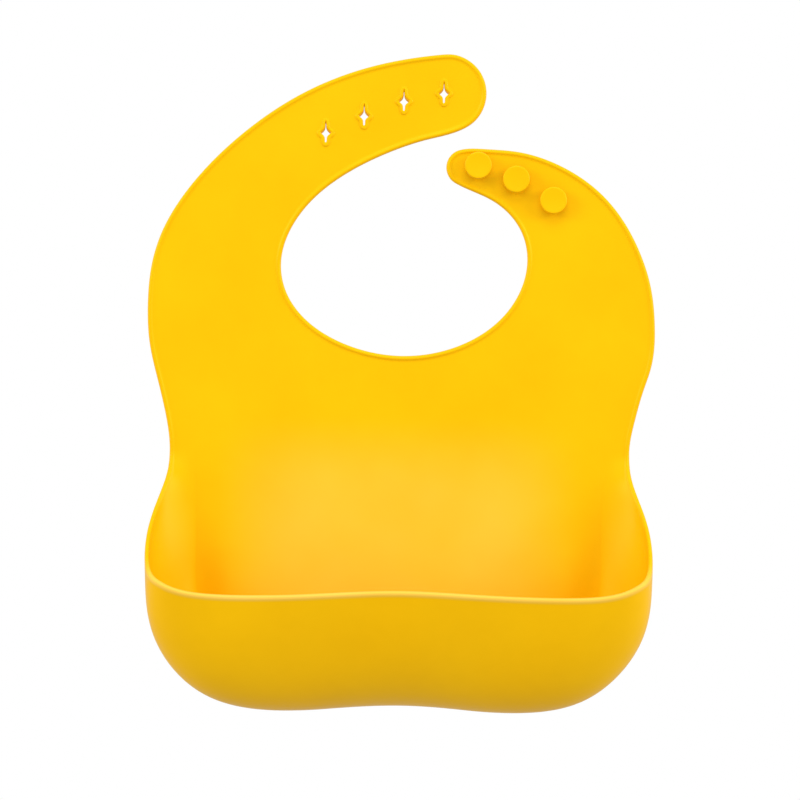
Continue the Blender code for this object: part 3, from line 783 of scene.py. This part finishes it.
def make_pieces(skin, material):
    """Gives the middle surface its thickness and cuts it into pieces, each a closed body."""
    places = np.array(skin.places, float)
    fronts = np.array(skin.fronts, float)
    halves = np.array(skin.halves, float)
    painted_sheens = painted_sheen(places)
    places = places + fronts * sway(places)[:, None]
    verts = np.empty((2 * len(places), 3))
    verts[0::2] = places + fronts * halves[:, None]
    verts[1::2] = places - fronts * halves[:, None]

    def top(i):
        return 2 * i

    def under(i):
        return 2 * i + (1 if halves[i] > 0 else 0)

    whole = [tuple(top(i) for i in f) for f in skin.faces]
    whole += [tuple(under(i) for i in reversed(f)) for f in skin.faces]
    normals = smooth_normals(verts, whole)
    owners = {}
    for corners, region in zip(skin.faces, skin.regions):
        for a, b in zip(corners, corners[1:] + corners[:1]):
            owners[(a, b)] = region
    pieces = {}
    for name in dict.fromkeys(skin.regions):
        faces = []
        corner_normals = []
        for corners, region in zip(skin.faces, skin.regions):
            if region != name:
                continue
            for side in (tuple(top(i) for i in corners),
                         tuple(under(i) for i in reversed(corners))):
                faces.append(side)
                corner_normals.extend(normals[i] for i in side)
        for (a, b), region in owners.items():
            if region != name or owners.get((b, a), name) == name:
                continue
            cap = tuple(dict.fromkeys((top(b), top(a), under(a), under(b))))
            edge1 = verts[cap[1]] - verts[cap[0]]
            edge2 = verts[cap[2]] - verts[cap[0]]
            normal = np.cross(edge1, edge2)
            faces.append(cap)
            corner_normals.extend([normal / np.linalg.norm(normal)] * len(cap))
        used = sorted({i for f in faces for i in f})
        local = {i: k for k, i in enumerate(used)}
        faces = [tuple(local[i] for i in f) for f in faces]
        # Painted highlight along the pocket's rim, and painted sheen on the front skin only.
        pale = [max(skin.pale[i // 2], painted_sheens[i // 2] * (1 - i % 2)) for i in used]
        pieces[name] = finish_mesh(name + "_skin", verts[used], faces, corner_normals,
                                   material, pale)
    return pieces


def quarter(count):
    """A quarter circle in steps: pairs that go from (1, 0) to (0, 1), bowed towards (0, 0)."""
    turn = np.radians(np.linspace(0, 90, count))
    return [(1 - math.sin(a), 1 - math.cos(a)) for a in turn]


def stud_profile():
    """Radius and height above the sheet's middle, from the neck's foot to the crown."""
    foot = SHEET / 2 - STUD_SINK
    under = SHEET / 2 + STUD_NECK_LENGTH
    top = under + STUD_HEAD_HEIGHT
    profile = [(0.0, foot), (STUD_NECK_RADIUS + STUD_FLARE, foot)]
    for left, done in quarter(6):
        profile.append((STUD_NECK_RADIUS + STUD_FLARE * left,
                        foot + STUD_SINK + STUD_FLARE * done))
    for left, done in quarter(5):
        profile.append((STUD_NECK_RADIUS + STUD_UNDER_ROUND * done,
                        under - STUD_UNDER_ROUND * left))
    for left, done in quarter(6):
        profile.append((STUD_HEAD_RADIUS - STUD_LOWER_ROUND * left,
                        under + STUD_LOWER_ROUND * done))
    for left, done in quarter(8):
        profile.append((STUD_HEAD_RADIUS - STUD_UPPER_ROUND * done,
                        top - STUD_UPPER_ROUND * left))
    flat_radius = STUD_HEAD_RADIUS - STUD_UPPER_ROUND
    for share in STUD_FACE_RINGS:
        profile.append((flat_radius * share, top - STUD_DISH * (1 - share ** 2)))
    return profile


def make_stud(number, centre, material):
    """One mushroom stud, turned about its own axis."""
    profile = stud_profile()
    lift = float(sway(np.array([[centre[0], 0.0, centre[1]]]))[0])
    verts = []
    rings = []
    for radius, height in profile:
        if radius == 0:
            rings.append([len(verts)] * STUD_SIDES)
            verts.append((centre[0], -height - lift, centre[1]))
            continue
        ring = []
        for k in range(STUD_SIDES):
            turn = 2 * math.pi * k / STUD_SIDES
            ring.append(len(verts))
            verts.append((centre[0] + radius * math.cos(turn), -height - lift,
                          centre[1] + radius * math.sin(turn)))
        rings.append(ring)
    faces = []
    for lower, upper in zip(rings, rings[1:]):
        for k in range(STUD_SIDES):
            j = (k + 1) % STUD_SIDES
            ring = (lower[k], lower[j], upper[j], upper[k])
            faces.append(tuple(dict.fromkeys(ring)))
    normals = smooth_normals(verts, faces)
    corner_normals = [normals[i] for f in faces for i in f]
    return finish_mesh(f"stud_{number}_silicone", verts, faces, corner_normals, material,
                       [0.0] * len(verts))


def joint(name):
    """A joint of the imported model."""
    return next(j for j in frame["joints"] if j["name"] == name)


def bend(piece, joint_name, reach):
    """Finds the flex line's pivot and which side of it the piece lies on, and bakes the piece's
    transform into its mesh. The reach is not used.
    """
    found = joint(joint_name)
    pivot = Vector(found["pos_m"])
    across = Vector(found["axis"]).cross(Vector((0.0, 1.0, 0.0))).normalized()
    member = frame["record"]["behaviour"]["bodies"][found["child"]][0]
    low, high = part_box(member)
    if ((low + high) / 2 - pivot).dot(across) < 0:
        across = -across
    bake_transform(piece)


def look_at(holder, target):
    """Turns a light to face a point."""
    holder.rotation_euler = (Vector(target) - holder.location).to_track_quat("-Z", "Y").to_euler()


def area_light(name, place, size, power):
    """A soft rectangular light that faces the bib."""
    data = bpy.data.lights.new(name, "AREA")
    data.shape = "RECTANGLE"
    data.size, data.size_y = size
    data.energy = power
    light = bpy.data.objects.new(name, data)
    bpy.context.scene.collection.objects.link(light)
    light.location = place
    look_at(light, AIM)


def surroundings():
    """A white backdrop that also lights the bib softly from everywhere."""
    world = bpy.data.worlds.new("studio")
    world.use_nodes = True
    nodes = world.node_tree.nodes
    links = world.node_tree.links
    glow = nodes["Background"]
    glow.inputs["Color"].default_value = WHITE
    glow.inputs["Strength"].default_value = GLOW
    backdrop = nodes.new("ShaderNodeBackground")
    backdrop.inputs["Color"].default_value = WHITE
    rays = nodes.new("ShaderNodeLightPath")
    choice = nodes.new("ShaderNodeMixShader")
    links.new(rays.outputs["Is Camera Ray"], choice.inputs["Fac"])
    links.new(glow.outputs["Background"], choice.inputs[1])
    links.new(backdrop.outputs["Background"], choice.inputs[2])
    links.new(choice.outputs["Shader"], nodes["World Output"].inputs["Surface"])
    return world


def make_floor():
    """A pale floor that catches the bib's shadow and throws no light back on it."""
    mesh = bpy.data.meshes.new("floor")
    half = FLOOR_HALF
    mesh.from_pydata([(-half, -half, FLOOR_Z), (half, -half, FLOOR_Z), (half, half, FLOOR_Z),
                      (-half, half, FLOOR_Z)], [], [(0, 1, 2, 3)])
    floor = bpy.data.objects.new("floor", mesh)
    bpy.context.scene.collection.objects.link(floor)
    paint = bpy.data.materials.new("floor_paint")
    paint.use_nodes = True
    shader = paint.node_tree.nodes["Principled BSDF"]
    shader.inputs["Base Color"].default_value = FLOOR_GREY
    shader.inputs["Roughness"].default_value = FLOOR_ROUGHNESS
    mesh.materials.append(paint)
    floor.visible_diffuse = False
    floor.visible_glossy = False


def make_camera():
    """The camera, level with the bib's chest and turned slightly about its own axis."""
    lens = bpy.data.cameras.new("camera")
    lens.sensor_width = CAMERA_SENSOR
    lens.lens = CAMERA_LENS
    camera = bpy.data.objects.new("camera", lens)
    bpy.context.scene.collection.objects.link(camera)
    camera.location = CAMERA_PLACE
    upright = Euler((math.radians(90.0), 0.0, 0.0)).to_matrix()
    roll = Euler((0.0, 0.0, math.radians(CAMERA_ROLL))).to_matrix()
    camera.rotation_euler = (upright @ roll).to_euler()
    bpy.context.scene.camera = camera


def studio():
    """Soft lights, white surroundings, the floor and the camera."""
    bpy.context.scene.view_settings.view_transform = "Standard"
    for name, place, size, power in LIGHTS:
        area_light(name, place, size, power)
    bpy.context.scene.world = surroundings()
    make_floor()
    make_camera()


def build():
    """The whole bib."""
    material = silicone()
    skin = Skin()
    inner, left_end, right_end, starts, region_of = add_free_edge(skin)
    crease, right_waist, left_waist = add_pocket(skin, left_end, right_end)
    holes = add_holes(skin)
    cuts = add_cuts(skin, inner, starts)
    fill_sheet(skin, inner, crease, right_waist, left_waist, holes, cuts, region_of)
    pieces = make_pieces(skin, material)

    bend(pieces["hole_strap_end"], "hole_strap_bend_tip", HOLE_TIP_REACH)
    bend(pieces["hole_strap_upper"], "hole_strap_bend_middle", HOLE_REACH)
    bend(pieces["hole_strap_lower"], "hole_strap_wrap", HOLE_REACH)
    bend(pieces["stud_strap_end"], "stud_strap_bend_tip", STUD_TIP_REACH)
    bend(pieces["stud_strap_lower"], "stud_strap_wrap", STUD_REACH)
    bend(pieces["chest"], "chest_fold", FOLD_REACH)
    bend(pieces["fold_upper"], "chest_fold_middle", FOLD_REACH)
    bend(pieces["fold_lower"], "chest_fold_lower", FOLD_REACH)
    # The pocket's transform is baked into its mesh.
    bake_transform(pieces["pocket"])
    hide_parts("hole_strap_tip")
    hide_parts("hole_strap_middle")
    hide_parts("hole_strap_root")
    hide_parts("stud_strap_tip")
    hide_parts("stud_strap_root")
    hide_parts("chest_panel")
    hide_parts("fold_band_upper")
    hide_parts("fold_band_lower")
    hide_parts("pocket_back_panel", "pocket_front_wall", "pocket_floor",
                "pocket_side_left", "pocket_side_right")
    for number, centre in enumerate(STUD_CENTRES, 1):
        stud = make_stud(number, centre, material)
        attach(stud, "stud_root" if number == len(STUD_CENTRES) else "stud_tip")
        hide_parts(f"stud_{number}")


build()
studio()
